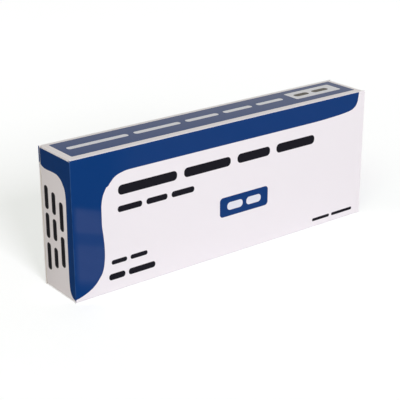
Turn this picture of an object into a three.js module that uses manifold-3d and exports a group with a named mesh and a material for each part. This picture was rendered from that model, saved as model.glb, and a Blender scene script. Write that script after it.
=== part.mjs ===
// A tuck-end folding carton of tablets, standing on its long bottom panel.
// The carton is one folded sheet of coated board: a glued sleeve with four dust flaps, and a tuck lid
// on the front panel at each end. Inside are two blister strips, back to back, and a folded leaflet.
// Millimetres, +Z up. X runs along the carton, the front panel faces -Y, and the origin is the middle
// of the bottom panel's outside.
import * as THREE from "three";
import { mergeVertices } from "three/addons/utils/BufferGeometryUtils.js";
import Module from "manifold-3d";

const wasm = await Module();
wasm.setup();

// Outside of the closed carton
const LENGTH = 120;
const DEPTH = 18;
const HEIGHT = 46;

// Board and folds
const BOARD = 0.4;
const FOLD_RADIUS = 0.5;
const FOLD_STEPS = 4;
const GLUE_FLAP_WIDTH = 11;
const GLUE_FLAP_END_SLANT = 3;
const GLUE_BITE = 0.05;
const SEAM_SETBACK = 0.3;

// Tuck lids
const LID_SIDE_GAP = 0.5;
const LID_BACK_GAP = 0.15;
const LID_FLAP_GAP = 0.15;
const HINGE_GAP = 0.1;
const HINGE_SIDE_RELIEF = 0.2;
const TONGUE_DEPTH = 10.5;
const TONGUE_SIDE_GAP = 1.3;
const TONGUE_CORNER_RADIUS = 6;
const TONGUE_STEPS = 8;
const LOCK_SLIT_LENGTH = 4;
const LOCK_SLIT_WIDTH = 0.3;

// Dust flaps
const FLAP_LENGTH = 16;
const FLAP_SHOULDER = 3;
const FLAP_FRONT_GAP = 0.3;
const FLAP_TONGUE_GAP = 0.35;
const FLAP_FRONT_TAPER = 3.5;
const FLAP_BACK_TAPER = 1.6;
const FLAP_CORNER_RADIUS = 1.5;

// Tablets and their pockets
const TABLET_DIAMETER = 9;
const TABLET_THICKNESS = 4;
const TABLET_BAND = 1.8;
const TABLET_EDGE_ROUND = 0.25;
const POCKET_ROUND_GAP = 0.45;
const POCKET_DRAFT = 0.6;
const POCKET_END_GAP = 0.25;
const POCKET_CROWN_ROUND = 0.6;
const TABLET_SIDE_REST = 0.3;
const ROUND_STEPS = 14;
const DOME_STEPS = 2;

// Blister strips
const COLUMNS = 7;
const ROWS = 2;
const FILM = 0.3;
const FOIL = 0.1;
const SEAL = 0.02;
const STRIP_CORNER_RADIUS = 3;
const STRIP_END_ROOM = 2;
const STRIP_HEAD_ROOM = 3.4;
const STRIP_PAIR_GAP = 0.1;
const REST_GAP = 0.3;

// Folded leaflet
const PAPER = 0.12;
const LEAFLET_LAYERS = 10;
const LAYER_PITCH = 0.3;
const LEAFLET_END_ROOM = 4;
const LEAFLET_HEIGHT_SHARE = 0.88;
const PAPER_FOLD_STEPS = 4;

// Small extra reach of a cutter past what it cuts
const PAST = 1;

// Places worked out from the sizes above
const halfLength = LENGTH / 2;
const halfDepth = DEPTH / 2;
const insideFront = -halfDepth + BOARD;
const insideBack = halfDepth - BOARD;
const insideTop = HEIGHT - BOARD;
const glueFlapTop = 2 * BOARD;
const glueFlapFront = insideBack - GLUE_FLAP_WIDTH;
const flapOuter = BOARD + LID_FLAP_GAP;
const flapInner = flapOuter + BOARD;
const tongueRadius = DEPTH - BOARD - LID_BACK_GAP;

// Converts a geometry to a solid that can be joined and cut.
function solid(geometry) {
  const bare = geometry.index ? geometry.toNonIndexed() : geometry.clone();
  bare.deleteAttribute("normal");
  bare.deleteAttribute("uv");
  const merged = mergeVertices(bare, 1e-4);
  return new wasm.Manifold(
    new wasm.Mesh({
      numProp: 3,
      vertProperties: new Float32Array(merged.attributes.position.array),
      triVerts: new Uint32Array(merged.index.array),
    }),
  );
}

// Converts a solid back to a geometry for a mesh.
function geometryOf(shape) {
  const mesh = shape.getMesh();
  const stride = mesh.numProp;
  const positions = new Float32Array(mesh.numVert * 3);
  for (let i = 0; i < mesh.numVert; i++) {
    positions.set(mesh.vertProperties.subarray(i * stride, i * stride + 3), i * 3);
  }
  const geometry = new THREE.BufferGeometry();
  geometry.setAttribute("position", new THREE.BufferAttribute(positions, 3));
  geometry.setIndex(new THREE.BufferAttribute(new Uint32Array(mesh.triVerts), 1));
  geometry.computeVertexNormals();
  return geometry;
}

function box(x0, x1, y0, y1, z0, z1) {
  const geometry = new THREE.BoxGeometry(x1 - x0, y1 - y0, z1 - z0);
  geometry.translate((x0 + x1) / 2, (y0 + y1) / 2, (z0 + z1) / 2);
  return solid(geometry);
}

function extrude(shape, depth, curveSegments = FOLD_STEPS) {
  return new THREE.ExtrudeGeometry(shape, { depth, bevelEnabled: false, curveSegments });
}

// A shape drawn in Y and Z, run along X from x0 to x1.
function alongX(shape, x0, x1, curveSegments) {
  const geometry = extrude(shape, x1 - x0, curveSegments);
  const turn = new THREE.Matrix4().makeBasis(
    new THREE.Vector3(0, 1, 0),
    new THREE.Vector3(0, 0, 1),
    new THREE.Vector3(1, 0, 0),
  );
  geometry.applyMatrix4(turn.setPosition(x0, 0, 0));
  return solid(geometry);
}

// A shape drawn in X and Z, run along Y from y0 to y1.
function alongY(shape, y0, y1, curveSegments) {
  const geometry = extrude(shape, y1 - y0, curveSegments);
  const turn = new THREE.Matrix4().makeBasis(
    new THREE.Vector3(1, 0, 0),
    new THREE.Vector3(0, 0, 1),
    new THREE.Vector3(0, -1, 0),
  );
  geometry.applyMatrix4(turn.setPosition(0, y1, 0));
  return solid(geometry);
}

// A shape drawn in X and Y, run along Z from z0 to z1.
function alongZ(shape, z0, z1, curveSegments) {
  return solid(extrude(shape, z1 - z0, curveSegments).translate(0, 0, z0));
}

function polygon(points) {
  return new THREE.Shape(points.map(([x, y]) => new THREE.Vector2(x, y)));
}

// A solid's mirror image in the plane X = 0.
function mirroredInX(shape) {
  return shape.mirror([1, 0, 0]);
}

function mesh(name, shape, material) {
  const made = new THREE.Mesh(shape.isBufferGeometry ? shape : geometryOf(shape), material);
  made.name = name;
  return made;
}

// Materials
const board = new THREE.MeshStandardMaterial({ color: 0xeee9ef, roughness: 0.35, metalness: 0 });
const lidBoard = board.clone();
const clearFilm = new THREE.MeshStandardMaterial({
  color: 0xe8eef2,
  roughness: 0.12,
  metalness: 0,
  transparent: true,
  opacity: 0.4,
});
const foil = new THREE.MeshStandardMaterial({ color: 0xc9ccd0, roughness: 0.35, metalness: 0.9 });
const coating = new THREE.MeshStandardMaterial({ color: 0xf4f1ea, roughness: 0.4, metalness: 0 });
const paper = new THREE.MeshStandardMaterial({ color: 0xf3f2ee, roughness: 0.85, metalness: 0 });

// The sleeve's section: four panels round the folds. The bottom panel's raw edge shows at the back,
// just short of the back panel's fold, which turns in above it to make the glue flap.
function sleeveSection() {
  const r = FOLD_RADIUS;
  const section = new THREE.Shape();
  section.moveTo(-halfDepth + r, 0);
  section.lineTo(halfDepth - SEAM_SETBACK, 0);
  section.lineTo(halfDepth - SEAM_SETBACK, BOARD);
  section.lineTo(halfDepth - r, BOARD);
  section.absarc(halfDepth - r, BOARD + r, r, -Math.PI / 2, 0, false);
  section.lineTo(halfDepth, HEIGHT - r);
  section.absarc(halfDepth - r, HEIGHT - r, r, 0, Math.PI / 2, false);
  section.lineTo(-halfDepth + r, HEIGHT);
  section.absarc(-halfDepth + r, HEIGHT - r, r, Math.PI / 2, Math.PI, false);
  section.lineTo(-halfDepth, r);
  section.absarc(-halfDepth + r, r, r, Math.PI, 1.5 * Math.PI, false);
  const inside = new THREE.Path();
  inside.moveTo(insideFront, BOARD);
  inside.lineTo(insideFront, insideTop);
  inside.lineTo(insideBack, insideTop);
  inside.lineTo(insideBack, glueFlapTop);
  inside.lineTo(insideBack - r, glueFlapTop);
  inside.lineTo(insideBack - r, BOARD);
  section.holes.push(inside);
  return section;
}

// The flap under the glue, with slanted ends, lying on the bottom panel.
function glueFlap() {
  const back = insideBack - FOLD_RADIUS + GLUE_BITE;
  const outline = polygon([
    [-halfLength, back],
    [-halfLength + GLUE_FLAP_END_SLANT, glueFlapFront],
    [halfLength - GLUE_FLAP_END_SLANT, glueFlapFront],
    [halfLength, back],
  ]);
  return alongZ(outline, BOARD - GLUE_BITE, glueFlapTop);
}

// The outline of a dust flap, drawn in Y and Z as it hangs from the top panel. Its back edge stays
// clear of the lid's tongue, and it narrows below the shoulder towards round corners.
function dustFlapOutline() {
  const front = insideFront + FLAP_FRONT_GAP;
  const back = -halfDepth + tongueRadius - BOARD - FLAP_TONGUE_GAP;
  const tip = HEIGHT - FLAP_LENGTH;
  const shoulder = HEIGHT - FLAP_SHOULDER;
  const r = FLAP_CORNER_RADIUS;
  const outline = new THREE.Shape();
  outline.moveTo(front, HEIGHT - GLUE_BITE);
  outline.lineTo(front, shoulder);
  outline.lineTo(front + FLAP_FRONT_TAPER, tip + r);
  outline.quadraticCurveTo(front + FLAP_FRONT_TAPER, tip, front + FLAP_FRONT_TAPER + r, tip);
  outline.lineTo(back - FLAP_BACK_TAPER - r, tip);
  outline.quadraticCurveTo(back - FLAP_BACK_TAPER, tip, back - FLAP_BACK_TAPER, tip + r);
  outline.lineTo(back, shoulder);
  outline.lineTo(back, HEIGHT - GLUE_BITE);
  return outline;
}

// What is cut away outside a fold of the given radius, with the fold's centre at (cx, cz) and the
// corner towards -X and +Z, run along Y.
function foldRelief(cx, cz, y0, y1) {
  const r = FOLD_RADIUS;
  const corner = new THREE.Shape();
  corner.moveTo(cx, cz + r);
  corner.absarc(cx, cz, r, Math.PI / 2, Math.PI, false);
  corner.lineTo(cx - r - PAST, cz);
  corner.lineTo(cx - r - PAST, cz + r + PAST);
  corner.lineTo(cx, cz + r + PAST);
  return alongY(corner, y0, y1);
}

// The carton's left end: both dust flaps, and what the end takes away from the sleeve.
function leftEnd() {
  const flapFace = -halfLength + flapOuter;
  const topFlap = alongX(dustFlapOutline(), flapFace, -halfLength + flapInner);
  const bottomFlap = topFlap.mirror([0, 0, 1]).translate([0, 0, HEIGHT]);
  const topShort = box(
    -halfLength - PAST,
    flapFace,
    insideFront,
    insideBack,
    insideTop - PAST,
    HEIGHT + PAST,
  );
  const bottomShort = topShort.mirror([0, 0, 1]).translate([0, 0, HEIGHT]);
  const topFold = foldRelief(
    flapFace + FOLD_RADIUS,
    HEIGHT - FOLD_RADIUS,
    insideFront,
    insideBack,
  );
  const bottomFold = topFold.mirror([0, 0, 1]).translate([0, 0, HEIGHT]);
  const mitre = polygon([
    [-halfLength - PAST, -halfDepth - PAST],
    [-halfLength + BOARD, insideFront],
    [-halfLength - PAST, insideFront],
  ]);
  const hingeCut = alongZ(
    mitre,
    LID_SIDE_GAP - HINGE_SIDE_RELIEF,
    HEIGHT - LID_SIDE_GAP + HINGE_SIDE_RELIEF,
  );
  return {
    flaps: topFlap.add(bottomFlap),
    cut: topShort.add(bottomShort).add(topFold).add(bottomFold).add(hingeCut),
  };
}

function cartonSolid() {
  const sleeve = alongX(sleeveSection(), -halfLength, halfLength);
  const left = leftEnd();
  const flaps = left.flaps.add(mirroredInX(left.flaps));
  const cuts = left.cut.add(mirroredInX(left.cut));
  return sleeve.add(glueFlap()).add(flaps).subtract(cuts);
}

// The left lid's section in X and Y: the end panel from its hinge on the front fold, then the tongue,
// which starts along the back panel and curls in on a circle about the hinge, so that it slides out.
function lidSection() {
  const hingeX = -halfLength;
  const hingeY = -halfDepth;
  const outer = tongueRadius;
  const inner = tongueRadius - BOARD;
  const reach = Math.asin(TONGUE_DEPTH / outer);
  const onArc = (radius, angle) => [hingeX + radius * Math.sin(angle), hingeY + radius * Math.cos(angle)];
  const foldAngle = Math.asin(FOLD_RADIUS / outer);
  const points = [
    [hingeX, hingeY + HINGE_GAP],
    [hingeX + BOARD, hingeY + BOARD + HINGE_GAP],
  ];
  for (let i = 0; i <= TONGUE_STEPS; i++) {
    const start = Math.asin(BOARD / inner);
    points.push(onArc(inner, start + ((reach - start) * i) / TONGUE_STEPS));
  }
  for (let i = TONGUE_STEPS; i >= 0; i--) {
    points.push(onArc(outer, foldAngle + ((reach - foldAngle) * i) / TONGUE_STEPS));
  }
  const centreX = hingeX + FOLD_RADIUS;
  const [, arcEndY] = onArc(outer, foldAngle);
  for (let i = 1; i <= FOLD_STEPS; i++) {
    const turn = (Math.PI / 2) * (i / FOLD_STEPS);
    points.push([
      centreX - FOLD_RADIUS * Math.sin(turn),
      arcEndY - FOLD_RADIUS * (1 - Math.cos(turn)),
    ]);
  }
  return polygon(points);
}

// The tongue's outline seen along Y: it is narrower than the panel and has round corners.
function tongueOutline() {
  const foot = -halfLength + BOARD - PAST;
  const tip = -halfLength + TONGUE_DEPTH;
  const low = TONGUE_SIDE_GAP;
  const high = HEIGHT - TONGUE_SIDE_GAP;
  const r = TONGUE_CORNER_RADIUS;
  const outline = new THREE.Shape();
  outline.moveTo(foot, low);
  outline.lineTo(tip - r, low);
  outline.absarc(tip - r, low + r, r, -Math.PI / 2, 0, false);
  outline.lineTo(tip, high - r);
  outline.absarc(tip - r, high - r, r, 0, Math.PI / 2, false);
  outline.lineTo(foot, high);
  return outline;
}

function lidSolid() {
  const low = LID_SIDE_GAP;
  const high = HEIGHT - LID_SIDE_GAP;
  const whole = alongZ(lidSection(), low, high);
  const panelSpace = box(
    -halfLength - PAST,
    -halfLength + BOARD,
    -halfDepth - PAST,
    halfDepth + PAST,
    low - PAST,
    high + PAST,
  );
  const tongueSpace = alongY(
    tongueOutline(),
    -halfDepth - PAST,
    halfDepth + PAST,
    2 * FOLD_STEPS,
  );
  const slitAt = -halfLength + BOARD;
  const slit = box(
    slitAt,
    slitAt + LOCK_SLIT_WIDTH,
    insideBack - 2 * BOARD,
    halfDepth,
    low,
    TONGUE_SIDE_GAP + LOCK_SLIT_LENGTH,
  );
  const upperSlit = slit.mirror([0, 0, 1]).translate([0, 0, HEIGHT]);
  return whole.intersect(panelSpace.add(tongueSpace)).subtract(slit).subtract(upperSlit);
}

// A blister strip is drawn with its film's flat side at Y = 0 and its pockets towards +Y, standing on
// its long edge at Z = 0.
const stripLength = LENGTH - 2 * (flapInner + STRIP_END_ROOM);
const stripHeight = insideTop - glueFlapTop - STRIP_HEAD_ROOM;
const pocketDepth = TABLET_THICKNESS + 2 * POCKET_END_GAP;
const stripThickness = FOIL + SEAL + pocketDepth + FILM;
const pocketTopRadius = TABLET_DIAMETER / 2 + POCKET_ROUND_GAP;
const pocketMouthRadius = pocketTopRadius + POCKET_DRAFT;

// Each pocket's middle, in X and Z.
function pocketPlaces() {
  const places = [];
  for (let row = 0; row < ROWS; row++) {
    for (let column = 0; column < COLUMNS; column++) {
      places.push({
        x: ((column + 0.5) / COLUMNS - 0.5) * stripLength,
        z: ((row + 0.5) / ROWS) * stripHeight,
      });
    }
  }
  return places;
}

function lathe(points) {
  const profile = points.map(([x, y]) => new THREE.Vector2(x, y));
  return solid(new THREE.LatheGeometry(profile, ROUND_STEPS));
}

// A pocket's inside, or with a wall added its outside: a drafted cup with a rounded crown.
function pocketForm(wall, mouth) {
  const crown = pocketDepth + wall;
  const top = pocketTopRadius + wall;
  return lathe([
    [0, mouth],
    [pocketMouthRadius + wall, mouth],
    [pocketMouthRadius + wall, 0],
    [top, crown - POCKET_CROWN_ROUND],
    [top - POCKET_CROWN_ROUND, crown],
    [0, crown],
  ]);
}

function roundedStrip(y0, y1) {
  const halfStrip = stripLength / 2;
  const r = STRIP_CORNER_RADIUS;
  const outline = new THREE.Shape();
  outline.moveTo(-halfStrip + r, 0);
  outline.lineTo(halfStrip - r, 0);
  outline.absarc(halfStrip - r, r, r, -Math.PI / 2, 0, false);
  outline.lineTo(halfStrip, stripHeight - r);
  outline.absarc(halfStrip - r, stripHeight - r, r, 0, Math.PI / 2, false);
  outline.lineTo(-halfStrip + r, stripHeight);
  outline.absarc(-halfStrip + r, stripHeight - r, r, Math.PI / 2, Math.PI, false);
  outline.lineTo(-halfStrip, r);
  outline.absarc(-halfStrip + r, r, r, Math.PI, 1.5 * Math.PI, false);
  return alongY(outline, y0, y1);
}

function filmSolid() {
  const cups = pocketPlaces().map(({ x, z }) => pocketForm(FILM, FILM / 2).translate([x, 0, z]));
  const hollows = pocketPlaces().map(({ x, z }) => pocketForm(0, -PAST).translate([x, 0, z]));
  const flat = roundedStrip(0, FILM);
  const formed = cups.reduce((sum, cup) => sum.add(cup), flat);
  return hollows.reduce((rest, hollow) => rest.subtract(hollow), formed);
}

function foilSolid() {
  return roundedStrip(-SEAL - FOIL, -SEAL);
}

// A round tablet with a straight band and domed faces, lying across Y.
function tabletGeometry() {
  const radius = TABLET_DIAMETER / 2;
  const band = TABLET_BAND / 2;
  const rise = TABLET_THICKNESS / 2 - band;
  const rim = radius - TABLET_EDGE_ROUND;
  const dome = [];
  for (let i = 0; i <= DOME_STEPS; i++) {
    const share = i / DOME_STEPS;
    dome.push([rim * (1 - share), band + rise * (1 - (1 - share) ** 2)]);
  }
  const upper = [[radius, band - TABLET_EDGE_ROUND], ...dome];
  const lower = upper.map(([x, y]) => [x, -y]).reverse();
  const profile = [...lower, ...upper].map(([x, y]) => new THREE.Vector2(x, y));
  return new THREE.LatheGeometry(profile, ROUND_STEPS);
}

// One strip as a group: film, foil and a tablet in each pocket. The tablets lie low in their pockets.
function blisterStrip(name) {
  const strip = new THREE.Group();
  strip.add(mesh(`${name}_blister_film`, filmSolid(), clearFilm));
  strip.add(mesh(`${name}_blister_foil`, foilSolid(), foil));
  const tablet = tabletGeometry();
  const drop = POCKET_ROUND_GAP - TABLET_SIDE_REST;
  pocketPlaces().forEach(({ x, z }, i) => {
    const piece = mesh(`${name}_tablet_${String(i + 1).padStart(2, "0")}`, tablet, coating);
    piece.position.set(x, pocketDepth / 2, z - drop);
    strip.add(piece);
  });
  return strip;
}

// The leaflet's section in Y and Z: one sheet folded to and fro, its folds at the top and bottom.
const leafletHeight = stripHeight * LEAFLET_HEIGHT_SHARE;
const leafletThickness = (LEAFLET_LAYERS - 1) * LAYER_PITCH + PAPER;
const leafletLength = LENGTH - 2 * (TONGUE_DEPTH + LEAFLET_END_ROOM);

function leafletSection() {
  const half = PAPER / 2;
  const bend = LAYER_PITCH / 2;
  const low = bend + half;
  const high = leafletHeight - bend - half;
  const near = [];
  const far = [];
  for (let layer = 0; layer < LEAFLET_LAYERS; layer++) {
    const y = half + layer * LAYER_PITCH;
    const up = layer % 2 === 0;
    const [from, to] = up ? [low, high] : [high, low];
    if (layer === 0) {
      near.push([y - half, from]);
      far.push([y + half, from]);
    }
    if (layer === LEAFLET_LAYERS - 1) {
      near.push([up ? y - half : y + half, to]);
      far.push([up ? y + half : y - half, to]);
      break;
    }
    for (let i = 0; i <= PAPER_FOLD_STEPS; i++) {
      const turn = Math.PI * (i / PAPER_FOLD_STEPS);
      const direction = up ? 1 : -1;
      const fold = (radius) => [
        y + bend - radius * Math.cos(turn),
        to + direction * radius * Math.sin(turn),
      ];
      near.push(fold(up ? bend + half : bend - half));
      far.push(fold(up ? bend - half : bend + half));
    }
  }
  return polygon([...near, ...far.reverse()]);
}

function leafletSolid() {
  return alongX(leafletSection(), -leafletLength / 2, leafletLength / 2);
}

// The whole object
const carton = new THREE.Group();
carton.add(mesh("carton", cartonSolid(), board));

const lid = lidSolid();
carton.add(mesh("left_tuck_lid", lid, lidBoard));
carton.add(mesh("right_tuck_lid", mirroredInX(lid), lidBoard));

const frontStripBack = insideFront + REST_GAP + stripThickness;
const frontStrip = blisterStrip("front");
frontStrip.rotation.z = Math.PI;
frontStrip.position.set(0, frontStripBack - FOIL - SEAL, BOARD + REST_GAP);
carton.add(frontStrip);

const rearStripFront = frontStripBack + STRIP_PAIR_GAP;
const rearStrip = blisterStrip("rear");
rearStrip.position.set(0, rearStripFront + FOIL + SEAL, glueFlapTop + REST_GAP);
carton.add(rearStrip);

const leaflet = mesh("leaflet", leafletSolid(), paper);
leaflet.position.set(0, rearStripFront + stripThickness + REST_GAP, glueFlapTop + REST_GAP);
carton.add(leaflet);

export default carton;
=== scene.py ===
# %% [markdown]
# # A carton of tablets
#
# This lesson dresses a small folding carton of tablets. The carton stands on its long narrow side
# on a white table, and two blister strips and a leaflet are inside it.
#
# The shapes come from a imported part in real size, so nothing is scaled here. Each solid of the part
# is already in its place, in metres, with the middle of the carton's bottom at the origin, the front
# panel towards -Y and the long side along X. This script gives the solids their finishes, models
# the pieces that need a finer shape, and adds the table, the lamps and the camera.

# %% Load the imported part
import math

import bpy
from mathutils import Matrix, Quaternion, Vector


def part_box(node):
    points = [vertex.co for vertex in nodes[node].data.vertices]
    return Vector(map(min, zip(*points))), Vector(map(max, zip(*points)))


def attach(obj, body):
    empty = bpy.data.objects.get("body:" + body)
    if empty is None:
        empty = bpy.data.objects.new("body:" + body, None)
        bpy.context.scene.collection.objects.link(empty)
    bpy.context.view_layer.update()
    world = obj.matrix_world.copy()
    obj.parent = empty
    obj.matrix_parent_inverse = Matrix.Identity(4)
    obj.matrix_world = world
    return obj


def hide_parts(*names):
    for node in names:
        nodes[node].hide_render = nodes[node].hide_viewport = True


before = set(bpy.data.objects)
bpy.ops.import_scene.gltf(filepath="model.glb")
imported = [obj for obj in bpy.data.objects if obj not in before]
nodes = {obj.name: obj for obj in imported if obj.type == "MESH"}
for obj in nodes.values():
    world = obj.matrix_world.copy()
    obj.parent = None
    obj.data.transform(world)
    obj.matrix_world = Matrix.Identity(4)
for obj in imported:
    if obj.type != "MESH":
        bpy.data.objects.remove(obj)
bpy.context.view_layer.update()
print("solids:", len(nodes))

# %% [markdown]
# Sizes are easier to read in millimetres, as on a maker's drawing. `MM` turns them into metres.
# The carton's outside comes from the solids, so the print stays on the board if the part changes.

# %% Sizes of the carton
MM = 0.001
carton_low, carton_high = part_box("carton")
LENGTH = (carton_high.x - carton_low.x) / MM
DEPTH = (carton_high.y - carton_low.y) / MM
HEIGHT = (carton_high.z - carton_low.z) / MM
print(f"carton {LENGTH:.1f} x {DEPTH:.1f} x {HEIGHT:.1f} mm")

# %% [markdown]
# The solids arrive as loose triangles, which shade flat. A fold in board is a tight curve, and light
# should run over it smoothly. A Weld modifier joins the triangles, and an Edge Split modifier keeps
# the cut edges sharp while the folds between them turn smooth. Modifiers leave the solid as it is.

# %% Smooth the folds of the solids
SAME_POINT = 0.002 * MM
SHARPEST_FOLD = math.radians(35)


def smooth_folds(piece):
    piece.data.shade_smooth()
    weld = piece.modifiers.new("join_triangles", "WELD")
    weld.merge_threshold = SAME_POINT
    split = piece.modifiers.new("keep_cut_edges", "EDGE_SPLIT")
    split.split_angle = SHARPEST_FOLD
    split.use_edge_sharp = False


SHOWN_SOLIDS = [
    "carton", "left_tuck_lid", "right_tuck_lid", "front_blister_foil", "rear_blister_foil", "leaflet",
]
for name in SHOWN_SOLIDS:
    smooth_folds(nodes[name])
print("smoothed:", ", ".join(SHOWN_SOLIDS))

# %% [markdown]
# ## The print
#
# The print is flat colour: a dark blue field round two sides of the front, a blue label on the top,
# and rows of bars. It could be painted as an image, but an image has one size. Here each shape is
# worked out from the place on the board, so its edge stays crisp however near the camera is.
#
# A few small helpers keep the node trees short to write. `maths` adds one Math node and returns its
# output, and takes numbers or other outputs. `apart` splits a place or a direction into X, Y and Z,
# and `noise` gives an even, cloudy value from a place. `new_group` makes a node group with named
# sockets, and `use_group` places one with its own values.

# %% Helpers for node trees
FLOAT = "NodeSocketFloat"
VECTOR = "NodeSocketVector"


def feed(tree, socket, value):
    """Gives a socket a number or colour, or links another node's output to it."""
    if isinstance(value, bpy.types.NodeSocket):
        tree.links.new(value, socket)
    else:
        socket.default_value = value


def maths(tree, operation, *values, clamp=False):
    node = tree.nodes.new("ShaderNodeMath")
    node.operation = operation
    node.use_clamp = clamp
    for socket, value in zip(node.inputs, values):
        feed(tree, socket, value)
    return node.outputs[0]


def highest(tree, first, *others):
    """The union of several masks."""
    for other in others:
        first = maths(tree, "MAXIMUM", first, other)
    return first


def apart(tree, vector):
    node = tree.nodes.new("ShaderNodeSeparateXYZ")
    feed(tree, node.inputs[0], vector)
    return node.outputs


def noise(tree, place, scale, detail):
    node = tree.nodes.new("ShaderNodeTexNoise")
    node.inputs["Scale"].default_value = scale
    node.inputs["Detail"].default_value = detail
    feed(tree, node.inputs["Vector"], place)
    return node.outputs["Fac"]


def new_group(name, inputs, outputs):
    tree = bpy.data.node_groups.new(name, "ShaderNodeTree")
    for title, kind in inputs.items():
        tree.interface.new_socket(name=title, in_out="INPUT", socket_type=kind)
    for title in outputs:
        tree.interface.new_socket(name=title, in_out="OUTPUT", socket_type=FLOAT)
    given = tree.nodes.new("NodeGroupInput").outputs
    made = tree.nodes.new("NodeGroupOutput").inputs
    return tree, given, made


def use_group(tree, group, **values):
    node = tree.nodes.new("ShaderNodeGroup")
    node.node_tree = group
    for title, value in values.items():
        feed(tree, node.inputs[title.replace("_", " ")], value)
    return node.outputs


# %% [markdown]
# Most of the print is made of one shape, a rectangle with round corners. Its group measures how far
# a point lies outside the rectangle, and turns that distance into a mask. The mask's edge is a few
# hundredths of a millimetre wide, which is about how far ink spreads on coated board.

# %% A rounded field
INK_SPREAD = 0.06

rounded_field, given, made = new_group(
    "rounded_field",
    {title: FLOAT for title in ("Across", "Down", "Left", "Right", "Top", "Bottom", "Corner")},
    ["Mask"],
)


def past_edge(tree, place, low, high, corner):
    """How far a place lies past the straight part of a side, along one direction."""
    middle = maths(tree, "MULTIPLY", maths(tree, "ADD", low, high), 0.5)
    half = maths(tree, "MULTIPLY", maths(tree, "SUBTRACT", high, low), 0.5)
    away = maths(tree, "ABSOLUTE", maths(tree, "SUBTRACT", place, middle))
    return maths(tree, "SUBTRACT", away, maths(tree, "SUBTRACT", half, corner))


def edge_mask(tree, distance):
    """1 inside an edge and 0 outside it, from the distance outside it."""
    return maths(tree, "MULTIPLY_ADD", distance, -1 / INK_SPREAD, 0.5, clamp=True)


tree = rounded_field
past_side = past_edge(tree, given["Across"], given["Left"], given["Right"], given["Corner"])
past_end = past_edge(tree, given["Down"], given["Top"], given["Bottom"], given["Corner"])
side_square = maths(tree, "POWER", maths(tree, "MAXIMUM", past_side, 0), 2)
end_square = maths(tree, "POWER", maths(tree, "MAXIMUM", past_end, 0), 2)
round_part = maths(tree, "SQRT", maths(tree, "ADD", side_square, end_square))
flat_part = maths(tree, "MINIMUM", maths(tree, "MAXIMUM", past_side, past_end), 0)
distance = maths(tree, "SUBTRACT", maths(tree, "ADD", round_part, flat_part), given["Corner"])
feed(tree, made["Mask"], edge_mask(tree, distance))
print("rounded_field:", len(tree.nodes), "nodes")

# %% [markdown]
# Rows of plain bars stand on the panels. Each bar is a rounded field whose corner is nearly half its
# height, so its ends are round. A row is its runs from left to right, then its top and bottom edges,
# all in millimetres from the panel's top left corner.

# %% Rows of bars
ROUND_END = 0.45


def rows_of_bars(tree, across, down, rows):
    masks = []
    for runs, top, bottom in rows:
        for left, right in runs:
            bar = use_group(
                tree, rounded_field, Across=across, Down=down, Left=left, Right=right,
                Top=top, Bottom=bottom, Corner=(bottom - top) * ROUND_END,
            )
            masks.append(bar["Mask"])
    return highest(tree, *masks)


# %% [markdown]
# The blue field's inner edge is a free curve. A Float Curve node holds such an edge well: it takes a
# place along one side, and gives how far the colour reaches in from that side. Its points are a
# table of places and reaches. Where the edge turns a corner, the curve of the one side and the curve
# of the other run over the same few millimetres, so the union of the two fields has no kink.

# %% A free edge
def reach_at(tree, place, length, table):
    furthest = max(reach for _, reach in table)
    node = tree.nodes.new("ShaderNodeFloatCurve")
    curve = node.mapping.curves[0]
    curve.points[0].location = (0, table[0][1] / furthest)
    curve.points[1].location = (1, table[-1][1] / furthest)
    for at, reach in table[1:-1]:
        curve.points.new(at / length, reach / furthest)
    for point in curve.points:
        point.handle_type = "AUTO_CLAMPED"
    node.mapping.update()
    feed(tree, node.inputs["Value"], maths(tree, "DIVIDE", place, length))
    return maths(tree, "MULTIPLY", node.outputs["Value"], furthest)


def within_reach(tree, place, reach):
    return edge_mask(tree, maths(tree, "SUBTRACT", place, reach))


# %% [markdown]
# The front panel has a blue field down the left and along the top, five rows of dark bars, and a
# small blue label with two light bars on it.

# %% Print of the front panel
LEFT_REACH = [
    (0, 17), (7, 17), (8, 15.8), (10, 13.2), (12, 11.7), (14.5, 10.7), (18, 10.3), (22, 10.3),
    (27, 10.75), (31, 11), (35, 10.8), (38, 10.1), (40.2, 8.7), (41.9, 7.1), (43, 5.5), (43.9, 3.5),
    (44.6, 1.3), (45, 0), (46, 0),
]
TOP_REACH = [
    (0, 11), (12, 11), (13.5, 10), (16, 8), (18, 7.4), (20, 7.1), (23, 7.05), (95, 7.1), (106, 6.8),
    (111.5, 6.4), (113.6, 6.05), (115.1, 5.4), (116.2, 4.3), (116.9, 2.4), (117.15, 0.2), (120, 0),
]
FRONT_LABEL = dict(Left=55.6, Right=76.1, Top=25.2, Bottom=32.05, Corner=1.3)
FRONT_ROWS = [
    ([(16.4, 38.5), (41.2, 60.0), (62.8, 76.7), (79.5, 96.6)], 11.4, 14.6),
    ([(16.1, 25.1), (26.7, 34.7), (36.3, 45.2)], 18.1, 20.1),
    ([(13.3, 19.0), (20.3, 26.7)], 35.3, 36.8),
    ([(12.2, 18.2), (19.5, 29.6)], 39.8, 41.9),
    ([(97.0, 105.1), (106.2, 116.1)], 42.6, 43.7),
]
LABEL_ROW = [([(58.7, 65.2), (66.8, 73.0)], 27.3, 30.0)]

front_print, given, made = new_group(
    "front_print", {"Across": FLOAT, "Down": FLOAT}, ["Blue", "Light", "Dark"]
)
tree = front_print
across, down = given["Across"], given["Down"]
left_field = within_reach(tree, across, reach_at(tree, down, HEIGHT, LEFT_REACH))
top_field = within_reach(tree, down, reach_at(tree, across, LENGTH, TOP_REACH))
label = use_group(tree, rounded_field, Across=across, Down=down, **FRONT_LABEL)["Mask"]
feed(tree, made["Blue"], highest(tree, left_field, top_field, label))
feed(tree, made["Light"], rows_of_bars(tree, across, down, LABEL_ROW))
feed(tree, made["Dark"], rows_of_bars(tree, across, down, FRONT_ROWS))
print("front_print:", len(tree.nodes), "nodes")

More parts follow.
